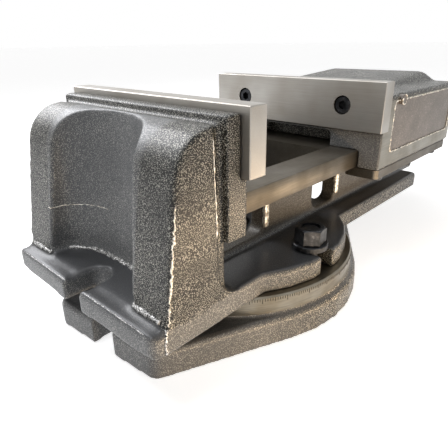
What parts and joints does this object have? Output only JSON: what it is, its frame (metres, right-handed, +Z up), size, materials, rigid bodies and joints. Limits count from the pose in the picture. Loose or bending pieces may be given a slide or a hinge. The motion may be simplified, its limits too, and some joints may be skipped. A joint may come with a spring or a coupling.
{
  "type": "machine vise with swivel base",
  "caption": "Machine vise on a graduated swivel base: fixed jaw cast with the bed, lock-down moving jaw on ground rails, lead screw with crank.",
  "frame": {"origin": "on the swivel axis at the underside of the swivel base", "axes": "+Z up along the swivel axis, +X along the bed from the fixed jaw to the crank, +Y across the jaws"},
  "size_m": [0.5362, 0.2214, 0.1435],
  "materials": {
    "cast_enamel": "speckled grey hammered enamel on cast iron",
    "ground_steel": "surface ground, fine lengthwise grain",
    "machined_iron": "machined, lightly oiled",
    "black_oxide": "black oxide, satin",
    "bright_steel": "turned bright, oiled",
    "ball_cage_bronze": "machined bronze",
    "grip_plastic": "black moulded, satin"
  },
  "bodies": {
    "base": {"pivot_pin": "bright_steel", "swivel_base": "cast_enamel"},
    "vise": {"bracket_screw_1": "black_oxide", "bracket_screw_2": "black_oxide", "bracket_screw_3": "black_oxide", "bracket_screw_4": "black_oxide", "clamp_bolt_far": "black_oxide", "clamp_bolt_near": "black_oxide", "clamp_nut_far": "black_oxide", "clamp_nut_near": "black_oxide", "clamp_washer_far": "black_oxide", "clamp_washer_near": "black_oxide", "fixed_jaw_plate": "ground_steel", "fixed_plate_screw_1": "black_oxide", "fixed_plate_screw_2": "black_oxide", "screw_bracket": "cast_enamel", "thrust_race_rear": "bright_steel", "vise_body": "cast_enamel"},
    "jaw": {"keeper_plate_far": "machined_iron", "keeper_plate_near": "machined_iron", "keeper_screw_far_1": "black_oxide", "keeper_screw_far_2": "black_oxide", "keeper_screw_far_3": "black_oxide", "keeper_screw_near_1": "black_oxide", "keeper_screw_near_2": "black_oxide", "keeper_screw_near_3": "black_oxide", "lock_nut": "machined_iron", "lock_segment": "bright_steel", "moving_jaw": "cast_enamel", "moving_jaw_plate": "ground_steel", "moving_plate_screw_1": "black_oxide", "moving_plate_screw_2": "black_oxide", "nut_set_screw": "black_oxide", "side_plug_far": "machined_iron", "side_plug_near": "machined_iron"},
    "screw": {"collar_set_screw": "black_oxide", "crank_arm": "black_oxide", "grip_spindle": "bright_steel", "lead_screw": "bright_steel", "screw_collar": "black_oxide", "thrust_ball_ring": "ball_cage_bronze", "thrust_race_front": "bright_steel"},
    "grip": {"handle_grip": "grip_plastic"}
  },
  "joints": [
    {"name": "swivel", "type": "hinge", "parent": "base", "child": "vise", "pos_m": [0, 0, 0.031], "axis": [0, 0, 1], "continuous": true},
    {"name": "screw_turn", "type": "hinge", "parent": "vise", "child": "screw", "pos_m": [0.2723, 0, 0.062], "axis": [1, 0, 0], "range_deg": [-9504, 1080]},
    {"name": "jaw_slide", "type": "slide", "parent": "vise", "child": "jaw", "axis": [1, 0, 0], "range_m": [-0.132, 0.015]},
    {"name": "grip_spin", "type": "hinge", "parent": "screw", "child": "grip", "pos_m": [0.3154, 0.11, 0.062], "axis": [1, 0, 0], "continuous": true}
  ],
  "couplings": [
    {"joint": "jaw_slide", "follows": "screw_turn", "m_per_rad": 0.00079577}
  ]
}
